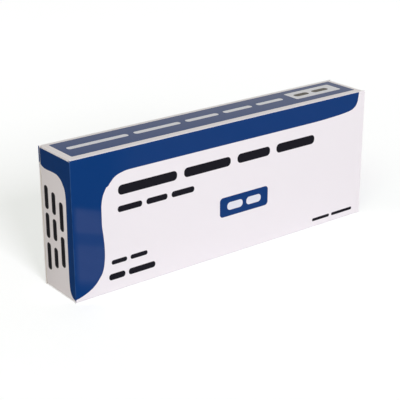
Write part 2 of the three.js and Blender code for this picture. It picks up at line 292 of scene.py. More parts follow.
# %% [markdown]
# The blue goes on round the corner to the left end panel, as a band along its top and a stripe down
# its front edge. Three rows of bars run downwards. The right end isn't seen in the photograph. It
# gets the same band and rows, and no stripe, because the front's blue stops short of that corner.

# %% Print of the end panels
BAND_REACH = [
    (0, 4.8), (1, 5.7), (2, 6.2), (4, 6.5), (8, 6.35), (10, 6.4), (11.5, 6.9), (13, 7.9), (14, 9.2),
    (15, 9.6), (18, 9.6),
]
STRIPE_REACH = [
    (0, 5.4), (7, 5.4), (7.9, 5), (9.2, 4), (11, 3.35), (13.5, 3.1), (20, 3.15), (28, 3.3),
    (38, 3.3), (41.8, 3.1), (43.2, 2.7), (44.2, 2.05), (44.9, 1), (45.2, 0), (46, 0),
]
PLAIN_BAND = dict(Left=-2, Right=16.4, Top=-2, Bottom=6.4, Corner=2.4)
END_ROWS = [
    ([(14.8, 24.2), (26.0, 36.1)], 5.0, 7.2),
    ([(12.9, 20.1), (21.6, 28.7), (31.1, 37.8)], 9.3, 11.5),
    ([(11.8, 19.5), (20.8, 29.1), (30.7, 39.8)], 13.5, 15.7),
]

end_print, given, made = new_group(
    "end_print", {"From front": FLOAT, "Down": FLOAT, "Stripe": FLOAT}, ["Blue", "Dark"]
)
tree = end_print
from_front, down = given["From front"], given["Down"]
from_back = maths(tree, "SUBTRACT", DEPTH, from_front)
band = within_reach(tree, down, reach_at(tree, from_back, DEPTH, BAND_REACH))
stripe = within_reach(tree, from_front, reach_at(tree, down, HEIGHT, STRIPE_REACH))
plain_band = use_group(tree, rounded_field, Across=from_back, Down=down, **PLAIN_BAND)["Mask"]
with_stripe = maths(tree, "MULTIPLY", highest(tree, band, stripe), given["Stripe"])
without = maths(tree, "MULTIPLY", plain_band, maths(tree, "SUBTRACT", 1, given["Stripe"]))
feed(tree, made["Blue"], highest(tree, with_stripe, without))
feed(tree, made["Dark"], rows_of_bars(tree, down, from_front, END_ROWS))
print("end_print:", len(tree.nodes), "nodes")

# %% [markdown]
# The top panel has one blue label with a white border. On it are a row of light bars and a white
# patch with two dark bars. The bottom isn't seen, and cartons often repeat the top there, so the
# same group serves both.

# %% Print of the top and bottom panels
TOP_LABEL = dict(Left=2.55, Right=117.7, Top=1.8, Bottom=15.2, Corner=0.4)
TOP_PATCH = dict(Left=94.1, Right=114.6, Top=4.4, Bottom=11.6, Corner=0.6)
TOP_ROW = [([(5.2, 27.0), (29.4, 47.0), (49.4, 62.4), (64.8, 76.6), (79.0, 90.3)], 7.0, 9.2)]
PATCH_ROW = [([(96.0, 102.2), (104.2, 111.2)], 6.8, 9.2)]

top_print, given, made = new_group(
    "top_print", {"Across": FLOAT, "From back": FLOAT}, ["Blue", "Light", "Dark"]
)
tree = top_print
across, from_back = given["Across"], given["From back"]
label = use_group(tree, rounded_field, Across=across, Down=from_back, **TOP_LABEL)["Mask"]
patch = use_group(tree, rounded_field, Across=across, Down=from_back, **TOP_PATCH)["Mask"]
feed(tree, made["Blue"], label)
feed(tree, made["Light"], highest(tree, patch, rows_of_bars(tree, across, from_back, TOP_ROW)))
feed(tree, made["Dark"], rows_of_bars(tree, across, from_back, PATCH_ROW))
print("top_print:", len(tree.nodes), "nodes")

# %% [markdown]
# The back is hidden as well. Such a pack keeps its colours there and is closely printed, so it gets a
# blue band along the top, two columns of thin bars, and a white box with a blue outline, where a
# filling line would stamp a date. The outline is one rounded field with a smaller one taken away.

# %% Print of the back panel
BACK_BAND = dict(Left=2.1, Right=130, Top=-5, Bottom=7, Corner=3.2)
DATE_BOX = dict(Left=84, Right=112, Top=30, Bottom=40.5, Corner=1.2)
DATE_BOX_INSIDE = dict(Left=84.5, Right=111.5, Top=30.5, Bottom=40, Corner=0.8)
LEFT_COLUMN = [((7, 27), (29, 50)), ((7, 33), (35, 47)), ((7, 21), (23, 50)), ((7, 38), (40, 45))]
RIGHT_COLUMN = [((60, 83), (85, 112)), ((60, 74), (76, 105)), ((60, 90), (92, 112)), ((60, 72),)]
COLUMN_TOP, LINE_PITCH, LINE_HEIGHT = 12, 3.1, 1.0


def column_rows(lines, first_line=0):
    rows = []
    for number, runs in enumerate(lines, first_line):
        top = COLUMN_TOP + number * LINE_PITCH
        rows.append((runs, top, top + LINE_HEIGHT))
    return rows


back_print, given, made = new_group(
    "back_print", {"Across": FLOAT, "Down": FLOAT}, ["Blue", "Dark"]
)
tree = back_print
across, down = given["Across"], given["Down"]
band = use_group(tree, rounded_field, Across=across, Down=down, **BACK_BAND)["Mask"]
box = use_group(tree, rounded_field, Across=across, Down=down, **DATE_BOX)["Mask"]
box_inside = use_group(tree, rounded_field, Across=across, Down=down, **DATE_BOX_INSIDE)["Mask"]
outline = maths(tree, "SUBTRACT", box, box_inside)
thin_bars = column_rows(LEFT_COLUMN) + column_rows(RIGHT_COLUMN) + column_rows(LEFT_COLUMN, 5)
feed(tree, made["Blue"], highest(tree, band, outline))
feed(tree, made["Dark"], rows_of_bars(tree, across, down, thin_bars))
print("back_print:", len(tree.nodes), "nodes")

# %% [markdown]
# ## The board
#
# Carton board is coated white outside, and bare and a little grey inside. The two sides of the sheet
# can't be told apart by place alone, since they are less than half a millimetre apart. They face
# different ways, though: a coated side faces away from the middle of the carton, so its normal
# points the same way as the line from the middle. That holds for the panels, for the dust flaps and
# for the lids with their tongues.

# %% Which side of the board, and which panel
SKIN = 0.15
FACING_OUT = 0.05
PANEL_MASKS = ["On front", "On back", "On left", "On right", "On top", "On bottom"]

board_places, given, made = new_group(
    "board_places",
    {"Place": VECTOR, "Facing": VECTOR},
    ["Right", "Back", "Up", "Coated"] + PANEL_MASKS,
)
tree = board_places
place, facing = apart(tree, given["Place"]), apart(tree, given["Facing"])
right = maths(tree, "MULTIPLY_ADD", place["X"], 1 / MM, LENGTH / 2)
back = maths(tree, "MULTIPLY_ADD", place["Y"], 1 / MM, DEPTH / 2)
up = maths(tree, "MULTIPLY", place["Z"], 1 / MM)


def outward(size, position, normal):
    side = maths(tree, "SIGN", maths(tree, "SUBTRACT", position, size / 2))
    return maths(tree, "MULTIPLY", side, normal)


away = outward(LENGTH, right, facing["X"])
away = maths(tree, "ADD", away, outward(DEPTH, back, facing["Y"]))
away = maths(tree, "ADD", away, outward(HEIGHT, up, facing["Z"]))
for title, value in (("Right", right), ("Back", back), ("Up", up)):
    feed(tree, made[title], value)
feed(tree, made["Coated"], maths(tree, "GREATER_THAN", away, FACING_OUT))
feed(tree, made["On front"], maths(tree, "LESS_THAN", back, SKIN))
feed(tree, made["On back"], maths(tree, "GREATER_THAN", back, DEPTH - SKIN))
feed(tree, made["On left"], maths(tree, "LESS_THAN", right, SKIN))
feed(tree, made["On right"], maths(tree, "GREATER_THAN", right, LENGTH - SKIN))
feed(tree, made["On top"], maths(tree, "GREATER_THAN", up, HEIGHT - SKIN))
feed(tree, made["On bottom"], maths(tree, "LESS_THAN", up, SKIN))
print("board_places:", len(tree.nodes), "nodes")

# %% [markdown]
# Where board is folded, its coating is stretched over the crease and the ink thins along a fine
# line. The lighter line also stands for the highlight that a fold catches, so it is partly a painted
# highlight. The group finds how near a point is to one of the carton's long edges, and breaks the
# line up with noise, so that it comes and goes as on a real pack.

# %% Worn ink and painted highlight along the creases
CREASE_LINE_SCALE, CREASE_LINE_DETAIL, CREASE_LINE_EDGE = 260, 3, 4

crease_wear_and_highlight, given, made = new_group(
    "crease_wear_and_highlight",
    {"Place": VECTOR, "Right": FLOAT, "Back": FLOAT, "Up": FLOAT, "Width": FLOAT},
    ["Mask"],
)
tree = crease_wear_and_highlight


def from_nearest_side(size, position):
    far_side = maths(tree, "SUBTRACT", size, position)
    return maths(tree, "ABSOLUTE", maths(tree, "MINIMUM", position, far_side))


to_end = from_nearest_side(LENGTH, given["Right"])
to_side = from_nearest_side(DEPTH, given["Back"])
to_floor = from_nearest_side(HEIGHT, given["Up"])
upright = maths(tree, "MAXIMUM", to_end, to_side)
lengthwise = maths(tree, "MAXIMUM", to_side, to_floor)
nearest = maths(tree, "MINIMUM", upright, lengthwise)
broken = noise(tree, given["Place"], CREASE_LINE_SCALE, CREASE_LINE_DETAIL)
wear_and_highlight = maths(tree, "SUBTRACT", maths(tree, "MULTIPLY", broken, given["Width"]), nearest)
feed(tree, made["Mask"], maths(tree, "MULTIPLY", wear_and_highlight, CREASE_LINE_EDGE, clamp=True))
print("crease_wear_and_highlight:", len(tree.nodes), "nodes")

# %% [markdown]
# A lighter blue over the dark ink is a painted sheen: it stands in for reflections of the surroundings
# in the varnish, painted into the colour. It lies in two broad slanting bands near the left end, and
# faintly over the rest. The bands are a curve over the height, with the slant taken off first, so the
# same node as for the blue field's edge draws them. Stretched noise makes the sheen uneven. Its
# Mapping node is of the Texture type, which takes the streaks' slant and size directly.

# %% Painted sheen on the blue ink
SHEEN_SLANT = 0.35
SHEEN_BANDS = [
    (0, 0), (12.5, 0), (14.5, 0.5), (16, 0.95), (20, 1), (22, 0.75), (24, 0.35), (25.5, 0.45),
    (27.5, 0.85), (30, 0.95), (36, 1), (38.5, 0.6), (41, 0.12), (43, 0), (46, 0),
]
BANDS_FROM, BANDS_FULL = 0.3, 2.0
FAINT_FROM, FAINT_FULL, FAINT_SHEEN = 13, 24, 0.25
STREAKS_FROM = (0, 0, 12 * MM)
STREAK_SLANT = (0, math.radians(40), 0)
STREAK_SIZE = (45 * MM, 20 * MM, 9 * MM)
STREAK_DETAIL, UNEVEN = 1.5, 0.9


def ramp(tree, value, low, high):
    """0 below a low value and 1 above a high one, straight between them."""
    return maths(tree, "MULTIPLY_ADD", value, 1 / (high - low), low / (low - high), clamp=True)


# Painted sheen: a mask for where the blue is painted lighter, as if it reflected the surroundings.
painted_sheen, given, made = new_group(
    "painted_sheen", {"Place": VECTOR, "Right": FLOAT, "Down": FLOAT}, ["Mask"]
)
tree = painted_sheen
level = maths(tree, "MULTIPLY_ADD", given["Right"], -SHEEN_SLANT, given["Down"])
bands = reach_at(tree, maths(tree, "MAXIMUM", level, 0), HEIGHT, SHEEN_BANDS)
bands = maths(tree, "MULTIPLY", bands, ramp(tree, given["Right"], BANDS_FROM, BANDS_FULL))
faint = maths(tree, "MULTIPLY", ramp(tree, given["Right"], FAINT_FROM, FAINT_FULL), FAINT_SHEEN)
stretch = tree.nodes.new("ShaderNodeMapping")
stretch.vector_type = "TEXTURE"
stretch.inputs["Location"].default_value = STREAKS_FROM
stretch.inputs["Rotation"].default_value = STREAK_SLANT
stretch.inputs["Scale"].default_value = STREAK_SIZE
feed(tree, stretch.inputs["Vector"], given["Place"])
streaks = noise(tree, stretch.outputs["Vector"], 1, STREAK_DETAIL)
uneven = maths(tree, "MULTIPLY_ADD", streaks, UNEVEN, 1 - UNEVEN / 2)
sheen = maths(tree, "MULTIPLY", maths(tree, "MAXIMUM", bands, faint), uneven, clamp=True)
feed(tree, made["Mask"], sheen)
print("painted_sheen:", len(tree.nodes), "nodes")

# %% [markdown]
# Colours are written as an image editor shows them, from 0 to 255, and turned into the linear values
# that a shader takes. The blue has two more tones: a lighter one for the painted sheen, and one for
# worn ink along the creases, which is also a painted highlight there. A Mix node has sockets of the
# same name for numbers, vectors and colours, so its colours go by number.

# %% Colours and inks
def colour(red, green, blue):
    shares = [value / 255 for value in (red, green, blue)]
    linear = [s / 12.92 if s <= 0.04045 else ((s + 0.055) / 1.055) ** 2.4 for s in shares]
    return (*linear, 1.0)


BOARD_WHITE = colour(240, 236, 239)
BARE_BOARD = colour(230, 226, 217)
DARK_BLUE = colour(0, 55, 117)
# A lighter blue for the painted sheen, which stands for reflections in the varnish.
SHEEN_BLUE = colour(42, 68, 122)
# Worn ink along the creases, lighter also as a painted highlight of the folds.
WORN_AND_HIGHLIT_BLUE = colour(44, 82, 138)
BAR_BLACK = colour(26, 25, 33)
BAR_LIGHT = colour(226, 228, 236)
FIRST_COLOUR, SECOND_COLOUR, MIXED_COLOUR = 6, 7, 2


def lay_over(tree, under, over, mask):
    """One colour over another where the mask is 1."""
    mix = tree.nodes.new("ShaderNodeMix")
    mix.data_type = "RGBA"
    feed(tree, mix.inputs["Factor"], mask)
    feed(tree, mix.inputs[FIRST_COLOUR], under)
    feed(tree, mix.inputs[SECOND_COLOUR], over)
    return mix.outputs[MIXED_COLOUR]


def new_material(name, base, roughness):
    material = bpy.data.materials.new(name)
    material.use_nodes = True
    shader = material.node_tree.nodes["Principled BSDF"]
    shader.inputs["Base Color"].default_value = base
    shader.inputs["Roughness"].default_value = roughness
    return material, material.node_tree, shader.inputs


# %% [markdown]
# The material puts the masks together, colour over colour, as inks lie on board. Each panel's print
# is measured from that panel's own left edge, as seen from outside.

# %% The printed board
COATED_ROUGHNESS, BARE_ROUGHNESS = 0.35, 0.8
CREASE_LINE_WIDTH = 0.5

printed_board, tree, surface = new_material("printed_board", BOARD_WHITE, COATED_ROUGHNESS)
coordinates = tree.nodes.new("ShaderNodeTexCoord").outputs
board = use_group(tree, board_places, Place=coordinates["Object"], Facing=coordinates["Normal"])
from_left, from_front, up = board["Right"], board["Back"], board["Up"]
from_right = maths(tree, "SUBTRACT", LENGTH, from_left)
from_back = maths(tree, "SUBTRACT", DEPTH, from_front)
down = maths(tree, "SUBTRACT", HEIGHT, up)
panels = {
    "On front": use_group(tree, front_print, Across=from_left, Down=down),
    "On back": use_group(tree, back_print, Across=from_right, Down=down),
    "On left": use_group(tree, end_print, From_front=from_front, Down=down, Stripe=1.0),
    "On right": use_group(tree, end_print, From_front=from_front, Down=down, Stripe=0.0),
    "On top": use_group(tree, top_print, Across=from_left, From_back=from_back),
    "On bottom": use_group(tree, top_print, Across=from_left, From_back=from_front),
}


def ink(title):
    """One ink's mask over all the panels that have it."""
    masks = [
        maths(tree, "MULTIPLY", printed[title], board[side])
        for side, printed in panels.items()
        if title in printed
    ]
    return highest(tree, *masks)


# Worn ink along the creases, partly a painted highlight of the folds.
wear_and_highlight = use_group(
    tree, crease_wear_and_highlight, Place=coordinates["Object"], Right=from_left, Back=from_front, Up=up,
    Width=CREASE_LINE_WIDTH,
)["Mask"]
stock = lay_over(tree, BARE_BOARD, BOARD_WHITE, board["Coated"])
# Painted sheen: where the blue is lighter, standing in for reflections in the varnish.
sheen = use_group(
    tree, painted_sheen, Place=coordinates["Object"], Right=from_left, Down=down
)["Mask"]
blue_ink = lay_over(tree, lay_over(tree, DARK_BLUE, SHEEN_BLUE, sheen), WORN_AND_HIGHLIT_BLUE, wear_and_highlight)
inked = lay_over(tree, stock, blue_ink, ink("Blue"))
inked = lay_over(tree, inked, BAR_LIGHT, ink("Light"))
inked = lay_over(tree, inked, BAR_BLACK, ink("Dark"))
feed(tree, surface["Base Color"], inked)
print("printed_board:", len(tree.nodes), "nodes")

# %% [markdown]
# The board has a satin varnish outside and is dull inside, so roughness follows the coated mask.
# It reflects little when seen straight on and much at a low angle, which is why the label on the top
# looks greyer than the same blue on the front. Two bumps finish it: a fine grain, and a very slow
# wave that keeps the panels from looking like sheet metal.

# %% Varnish and grain
GRAIN_SCALE, GRAIN_DETAIL = 2600, 3
WAVE_SCALE, WAVE_DETAIL = 34, 1

board_relief, given, made = new_group(
    "board_relief", {"Place": VECTOR, "Grain": FLOAT, "Wave": FLOAT}, ["Height"]
)
tree = board_relief
grain = noise(tree, given["Place"], GRAIN_SCALE, GRAIN_DETAIL)
wave = noise(tree, given["Place"], WAVE_SCALE, WAVE_DETAIL)
wave = maths(tree, "MULTIPLY", wave, given["Wave"])
feed(tree, made["Height"], maths(tree, "MULTIPLY_ADD", grain, given["Grain"], wave))


def add_bump(tree, surface, height, distance):
    bump = tree.nodes.new("ShaderNodeBump")
    bump.inputs["Distance"].default_value = distance
    feed(tree, bump.inputs["Height"], height)
    feed(tree, surface["Normal"], bump.outputs["Normal"])


def add_relief(tree, surface, place, grain, wave):
    """Feeds the board's relief, with heights in millimetres, to a material's normal."""
    relief = use_group(tree, board_relief, Place=place, Grain=grain, Wave=wave)
    add_bump(tree, surface, relief["Height"], MM)


tree = printed_board.node_tree
smoother = COATED_ROUGHNESS - BARE_ROUGHNESS
roughness = maths(tree, "MULTIPLY_ADD", board["Coated"], smoother, BARE_ROUGHNESS)
feed(tree, surface["Roughness"], roughness)
surface["Specular IOR Level"].default_value = 0.17
add_relief(tree, surface, coordinates["Object"], grain=0.004, wave=0.12)


def finish_with(piece, material):
    piece.data.materials.clear()
    piece.data.materials.append(material)


for name in ("carton", "left_tuck_lid", "right_tuck_lid"):
    finish_with(nodes[name], printed_board)

# %% [markdown]
# ## What is inside
#
# Each strip is a clear film with fourteen pockets, sealed to a sheet of foil. The foil is pressed
# with a fine square pattern where it is sealed. Two sine waves across each other make that pattern.

# %% Foil
SEAL_PITCH, SEAL_DEPTH = 0.9 * MM, 0.03 * MM

push_foil, tree, surface = new_material("push_foil", colour(206, 208, 212), 0.32)
surface["Metallic"].default_value = 1.0
place = apart(tree, tree.nodes.new("ShaderNodeTexCoord").outputs["Object"])
turns = 2 * math.pi / SEAL_PITCH
ridges_x = maths(tree, "SINE", maths(tree, "MULTIPLY", place["X"], turns))
ridges_z = maths(tree, "SINE", maths(tree, "MULTIPLY", place["Z"], turns))
add_bump(tree, surface, maths(tree, "MULTIPLY", ridges_x, ridges_z), SEAL_DEPTH)
for name in ("front_blister_foil", "rear_blister_foil"):
    finish_with(nodes[name], push_foil)

# %% [markdown]
# The leaflet is thin paper with close grey lines on its two outer faces. The lines come from the
# height alone: the fraction of the height over the line pitch tells how far up a line a point is.
# Noise that is stretched along the lines, and jumps from line to line, breaks them into dashes.

# %% The leaflet's fine lines
HALF_LINE = 0.22
NEXT_LINE = 7.3
DASH_DETAIL, DASH_LEVEL = 2, 0.42

fine_lines, given, made = new_group(
    "fine_lines", {"Across": FLOAT, "Up": FLOAT, "Pitch": FLOAT, "Dash": FLOAT}, ["Mask"]
)
tree = fine_lines
lines = maths(tree, "DIVIDE", given["Up"], given["Pitch"])
from_middle = maths(tree, "SUBTRACT", maths(tree, "FRACT", lines), 0.5)
in_line = maths(tree, "LESS_THAN", maths(tree, "ABSOLUTE", from_middle), HALF_LINE)
dash_place = tree.nodes.new("ShaderNodeCombineXYZ")
feed(tree, dash_place.inputs["X"], maths(tree, "DIVIDE", given["Across"], given["Dash"]))
feed(tree, dash_place.inputs["Y"], maths(tree, "MULTIPLY", maths(tree, "FLOOR", lines), NEXT_LINE))
dashes = noise(tree, dash_place.outputs["Vector"], 1, DASH_DETAIL)
in_dash = maths(tree, "GREATER_THAN", dashes, DASH_LEVEL)
feed(tree, made["Mask"], maths(tree, "MULTIPLY", in_line, in_dash))
print("fine_lines:", len(tree.nodes), "nodes")

# %% [markdown]
# The lines stay inside a margin, which is one more rounded field, and on the two faces that look
# along Y. The paper takes the board's relief group with a coarser grain.

# %% Leaflet paper
PAPER_WHITE = colour(240, 239, 234)
LINE_GREY = colour(96, 96, 102)
MARGIN, NO_CORNER, ALONG_Y = 4, 0.01, 0.9

leaflet_paper, tree, surface = new_material("leaflet_paper", PAPER_WHITE, 0.9)
coordinates = tree.nodes.new("ShaderNodeTexCoord").outputs
place, facing = apart(tree, coordinates["Object"]), apart(tree, coordinates["Normal"])
leaflet_low, leaflet_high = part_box("leaflet")
across = maths(tree, "MULTIPLY", place["X"], 1 / MM)
up = maths(tree, "MULTIPLY", place["Z"], 1 / MM)
inside_margin = use_group(
    tree, rounded_field, Across=across, Down=up, Corner=NO_CORNER,
    Left=leaflet_low.x / MM + MARGIN, Right=leaflet_high.x / MM - MARGIN,
    Top=leaflet_low.z / MM + MARGIN, Bottom=leaflet_high.z / MM - MARGIN,
)["Mask"]
drawn = use_group(tree, fine_lines, Across=across, Up=up, Pitch=1.7, Dash=2.6)["Mask"]
on_face = maths(tree, "GREATER_THAN", maths(tree, "ABSOLUTE", facing["Y"]), ALONG_Y)
drawn = maths(tree, "MULTIPLY", maths(tree, "MULTIPLY", drawn, inside_margin), on_face)
feed(tree, surface["Base Color"], lay_over(tree, PAPER_WHITE, LINE_GREY, drawn))
add_relief(tree, surface, coordinates["Object"], grain=0.008, wave=0.3)
finish_with(nodes["leaflet"], leaflet_paper)
print("leaflet_paper:", len(tree.nodes), "nodes")

# %% [markdown]
# ### Tablets
#
# A tablet is pressed between two hollow punches, so it has a straight band and two domed faces. It is
# modelled as by hand, with Blender's own operators. An operator acts on whatever is selected, so a
# few helpers come first: `pick` selects one object, and `choose` selects parts of its mesh.

# %% Helpers for modelling
TOUCHING = 0.01 * MM
SMOOTH_BELOW = math.radians(40)


def deselect_all():
    for thing in bpy.context.selected_objects:
        thing.select_set(False)


def pick(piece):
    deselect_all()
    piece.select_set(True)
    bpy.context.view_layer.objects.active = piece


def choose(piece, kind, test):
    """In edit mode, selects the faces, edges or vertices that pass a test, and no others."""
    bpy.ops.object.mode_set(mode="EDIT")
    bpy.ops.mesh.select_mode(type=kind)
    bpy.ops.mesh.select_all(action="DESELECT")
    bpy.ops.object.mode_set(mode="OBJECT")
    items = {"FACE": piece.data.polygons, "EDGE": piece.data.edges, "VERT": piece.data.vertices}[kind]
    for item in items:
        item.select = test(item)
    bpy.ops.object.mode_set(mode="EDIT")


# %% [markdown]
# The model starts as a cylinder as thick as the band. Each flat end is inset and lifted in four steps
# whose heights follow a parabola, and then the two rims are bevelled, since coating rounds them.

# %% Model one tablet
tablet_low, tablet_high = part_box("rear_tablet_01")
TABLET_RADIUS = (tablet_high.z - tablet_low.z) / 2
TABLET_HALF = (tablet_high.y - tablet_low.y) / 2
TABLET_SIDES = 48
BAND_HALF, RIM_ROUND = 0.9 * MM, 0.3 * MM
DOME_SHARES = [1, 0.78, 0.54, 0.3, 0.1]

deselect_all()
bpy.ops.mesh.primitive_cylinder_add(
    vertices=TABLET_SIDES, radius=TABLET_RADIUS, depth=2 * BAND_HALF, rotation=(math.pi / 2, 0, 0)
)
tablet = bpy.context.object
tablet.name = "tablet_pattern"
bpy.ops.object.transform_apply(location=True, rotation=True, scale=True)
for side in (-1, 1):
    choose(tablet, "FACE", lambda face: face.normal.y * side > ALONG_Y)
    for outer, inner in zip(DOME_SHARES, DOME_SHARES[1:]):
        bpy.ops.mesh.inset(thickness=(outer - inner) * TABLET_RADIUS, depth=0)
        rise = (outer**2 - inner**2) * (TABLET_HALF - BAND_HALF) / (1 - DOME_SHARES[-1] ** 2)
        bpy.ops.transform.translate(value=(0, side * rise, 0))
    bpy.ops.object.mode_set(mode="OBJECT")


def on_rim(edge):
    ends = [tablet.data.vertices[index].co for index in edge.vertices]
    same_side = ends[0].y * ends[1].y > 0
    level = all(abs(abs(end.y) - BAND_HALF) < TOUCHING for end in ends)
    outermost = all(math.hypot(end.x, end.z) > TABLET_RADIUS - TOUCHING for end in ends)
    return same_side and level and outermost


choose(tablet, "EDGE", on_rim)
bpy.ops.mesh.bevel(offset=RIM_ROUND, segments=3, affect="EDGES")
bpy.ops.object.mode_set(mode="OBJECT")
bpy.ops.object.shade_smooth_by_angle(angle=SMOOTH_BELOW)
tablet_size = [round(side / MM, 2) for side in tablet.dimensions]
print("tablet:", len(tablet.data.polygons), "faces,", tablet_size)

# %% [markdown]
# The tablet is copied to the place of each of the solids' tablets, and each copy gets a mesh of its
# own. The finish is a smooth, slightly waxy film coating.

# %% Copy the tablet into every pocket
tablet_coating, tree, surface = new_material("tablet_coating", colour(243, 240, 233), 0.42)
place = tree.nodes.new("ShaderNodeTexCoord").outputs["Object"]
add_relief(tree, surface, place, grain=0.01, wave=0)


def put_in_place(piece, offset):
    piece.location = offset
    pick(piece)
    bpy.ops.object.transform_apply(location=True, rotation=True, scale=True)


def own_copy(piece, name):
    copy = piece.copy()
    copy.data = piece.data.copy()
    copy.name = name
    bpy.context.scene.collection.objects.link(copy)
    return copy


tablet_solids = sorted(name for name in nodes if "_tablet_" in name)
for name in tablet_solids:
    low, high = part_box(name)
    copy = own_copy(tablet, "coated_" + name)
    put_in_place(copy, (low + high) / 2)
    finish_with(copy, tablet_coating)
    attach(copy, "carton")
    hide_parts(name)
bpy.data.objects.remove(tablet)
print("tablets:", len(tablet_solids))

# %% [markdown]
# ### Film
#
# The film is one sheet, drawn into warm moulds, so its pockets have sloping walls and round crowns.
# One cell is a pocket with the flat film round it. Its size comes from the solid film's box and the
# number of pockets. The rings are a pocket's radius at some levels, from its foot to its crown.

# %% Sizes of the film
COLUMNS, ROWS = 7, 2
FILM = 0.3 * MM
film_low, film_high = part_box("rear_blister_film")
CELL_WIDTH = (film_high.x - film_low.x) / COLUMNS
CELL_HEIGHT = (film_high.z - film_low.z) / ROWS
CROWN = film_high.y - film_low.y
POCKET_RINGS = [
    (5.80 * MM, FILM), (5.28 * MM, CROWN - 0.75 * MM), (5.17 * MM, CROWN - 0.35 * MM),
    (4.92 * MM, CROWN - 0.1 * MM), (4.60 * MM, CROWN),
]
POCKET_SIDES = 32

# %% [markdown]
# A circle is extruded up and in, ring by ring, to make the wall and the crown. Then a second circle,
# of only four points, makes a square with sides of 1. It is stretched to the cell, cut until it has as
# many edges as the first circle, and bridged to the pocket's foot.

# %% Model one cell of film
SQUARE_RADIUS = math.sqrt(0.5)

deselect_all()
foot_radius, foot = POCKET_RINGS[0]
bpy.ops.mesh.primitive_circle_add(
    vertices=POCKET_SIDES, radius=foot_radius, location=(0, foot, 0), rotation=(math.pi / 2, 0, 0)
)
film = bpy.context.object
bpy.ops.object.transform_apply(location=True, rotation=True, scale=True)
bpy.ops.object.mode_set(mode="EDIT")
bpy.ops.mesh.select_all(action="SELECT")
for (radius, level), (next_radius, next_level) in zip(POCKET_RINGS, POCKET_RINGS[1:]):
    bpy.ops.mesh.extrude_edges_move()
    shrink = next_radius / radius
    bpy.ops.transform.resize(value=(shrink, 1, shrink), center_override=(0, level, 0))
    bpy.ops.transform.translate(value=(0, next_level - level, 0))
bpy.ops.mesh.edge_face_add()
bpy.ops.mesh.select_all(action="DESELECT")
bpy.ops.mesh.primitive_circle_add(
    vertices=4, radius=SQUARE_RADIUS, location=(0, foot, 0), rotation=(math.pi / 2, math.pi / 4, 0)
)
bpy.ops.transform.resize(value=(CELL_WIDTH, 1, CELL_HEIGHT), center_override=(0, foot, 0))
bpy.ops.mesh.subdivide(number_cuts=POCKET_SIDES // 4 - 1)
bpy.ops.object.mode_set(mode="OBJECT")
choose(film, "EDGE", lambda edge: all(
    abs(film.data.vertices[index].co.y - foot) < TOUCHING for index in edge.vertices
))
bpy.ops.mesh.bridge_edge_loops()
bpy.ops.object.mode_set(mode="OBJECT")
print("cell of film:", len(film.data.polygons), "faces")

# %% [markdown]
# Two Array modifiers repeat the cell along and up the strip, and merge the edges that touch. The
# normals are turned outwards, and Solidify gives the film its thickness on the inner side.

# %% Repeat and thicken the film
def apply_modifier(piece, kind, **settings):
    modifier = piece.modifiers.new(kind.lower(), kind)
    for setting, value in settings.items():
        setattr(modifier, setting, value)
    pick(piece)
    bpy.ops.object.modifier_apply(modifier=modifier.name)


def repeat(piece, count, step):
    apply_modifier(
        piece, "ARRAY", count=count, use_relative_offset=False, use_constant_offset=True,
        constant_offset_displace=step, use_merge_vertices=True, merge_threshold=TOUCHING,
    )


repeat(film, COLUMNS, (CELL_WIDTH, 0, 0))
repeat(film, ROWS, (0, 0, CELL_HEIGHT))
pick(film)
bpy.ops.object.mode_set(mode="EDIT")
bpy.ops.mesh.select_all(action="SELECT")
bpy.ops.mesh.normals_make_consistent(inside=False)
bpy.ops.object.mode_set(mode="OBJECT")
flat_face = next(face for face in film.data.polygons if face.center.y < foot + TOUCHING)
inner_side = -1 if flat_face.normal.y > 0 else 1
apply_modifier(film, "SOLIDIFY", thickness=FILM, offset=inner_side)
put_in_place(film, (film_low.x + CELL_WIDTH / 2, film_low.y, film_low.z + CELL_HEIGHT / 2))
print("film in mm:", [round(side / MM, 2) for side in film.dimensions])

# %% [markdown]
# A Boolean with a rounded plate trims the strip's four corners, as a die does when it cuts strips
# from the web. The plate is a hair smaller than the strip, so the two never share a face.

# %% Trim the strip's corners
STRIP_CORNER, HAIR = 3 * MM, 0.02 * MM

deselect_all()
bpy.ops.mesh.primitive_cube_add(size=1, location=(film_low + film_high) / 2)
plate = bpy.context.object
plate.dimensions = (film_high.x - film_low.x - HAIR, 4 * CROWN, film_high.z - film_low.z - HAIR)
bpy.ops.object.transform_apply(location=True, rotation=True, scale=True)


def runs_through(edge):
    start, end = (plate.data.vertices[index].co for index in edge.vertices)
    return abs(start.y - end.y) > CROWN


choose(plate, "EDGE", runs_through)
bpy.ops.mesh.bevel(offset=STRIP_CORNER, segments=6, affect="EDGES")
bpy.ops.object.mode_set(mode="OBJECT")
apply_modifier(film, "BOOLEAN", operation="INTERSECT", object=plate, solver="EXACT")
bpy.data.objects.remove(plate)
pick(film)
bpy.ops.object.shade_smooth_by_angle(angle=SMOOTH_BELOW)
print("film:", len(film.data.polygons), "faces")

# %% [markdown]
# Clear film this thin bends light very little. A mostly transparent surface with a sharp gloss looks
# right and renders fast. The front strip is the rear one turned round, foil to foil.

# %% Finish the film and make the second strip
LOWEST_CORNER, HIGHEST_CORNER = 0, 6

clear_film, _, surface = new_material("clear_film", colour(236, 240, 244), 0.08)
surface["Alpha"].default_value = 0.3
surface["Coat Weight"].default_value = 1.0
surface["Coat Roughness"].default_value = 0.05

film.name = "drawn_rear_blister_film"
front_film = own_copy(film, "drawn_front_blister_film")
front_film.rotation_euler = (0, 0, math.pi)
front_low, front_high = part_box("front_blister_film")
put_in_place(front_film, (0, front_high.y + film_low.y, front_low.z - film_low.z))
for piece, name in ((film, "rear_blister_film"), (front_film, "front_blister_film")):
    finish_with(piece, clear_film)
    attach(piece, "carton")
    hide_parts(name)
    for corner in (LOWEST_CORNER, HIGHEST_CORNER):
        print(piece.name, [round(place / MM, 2) for place in piece.bound_box[corner]])

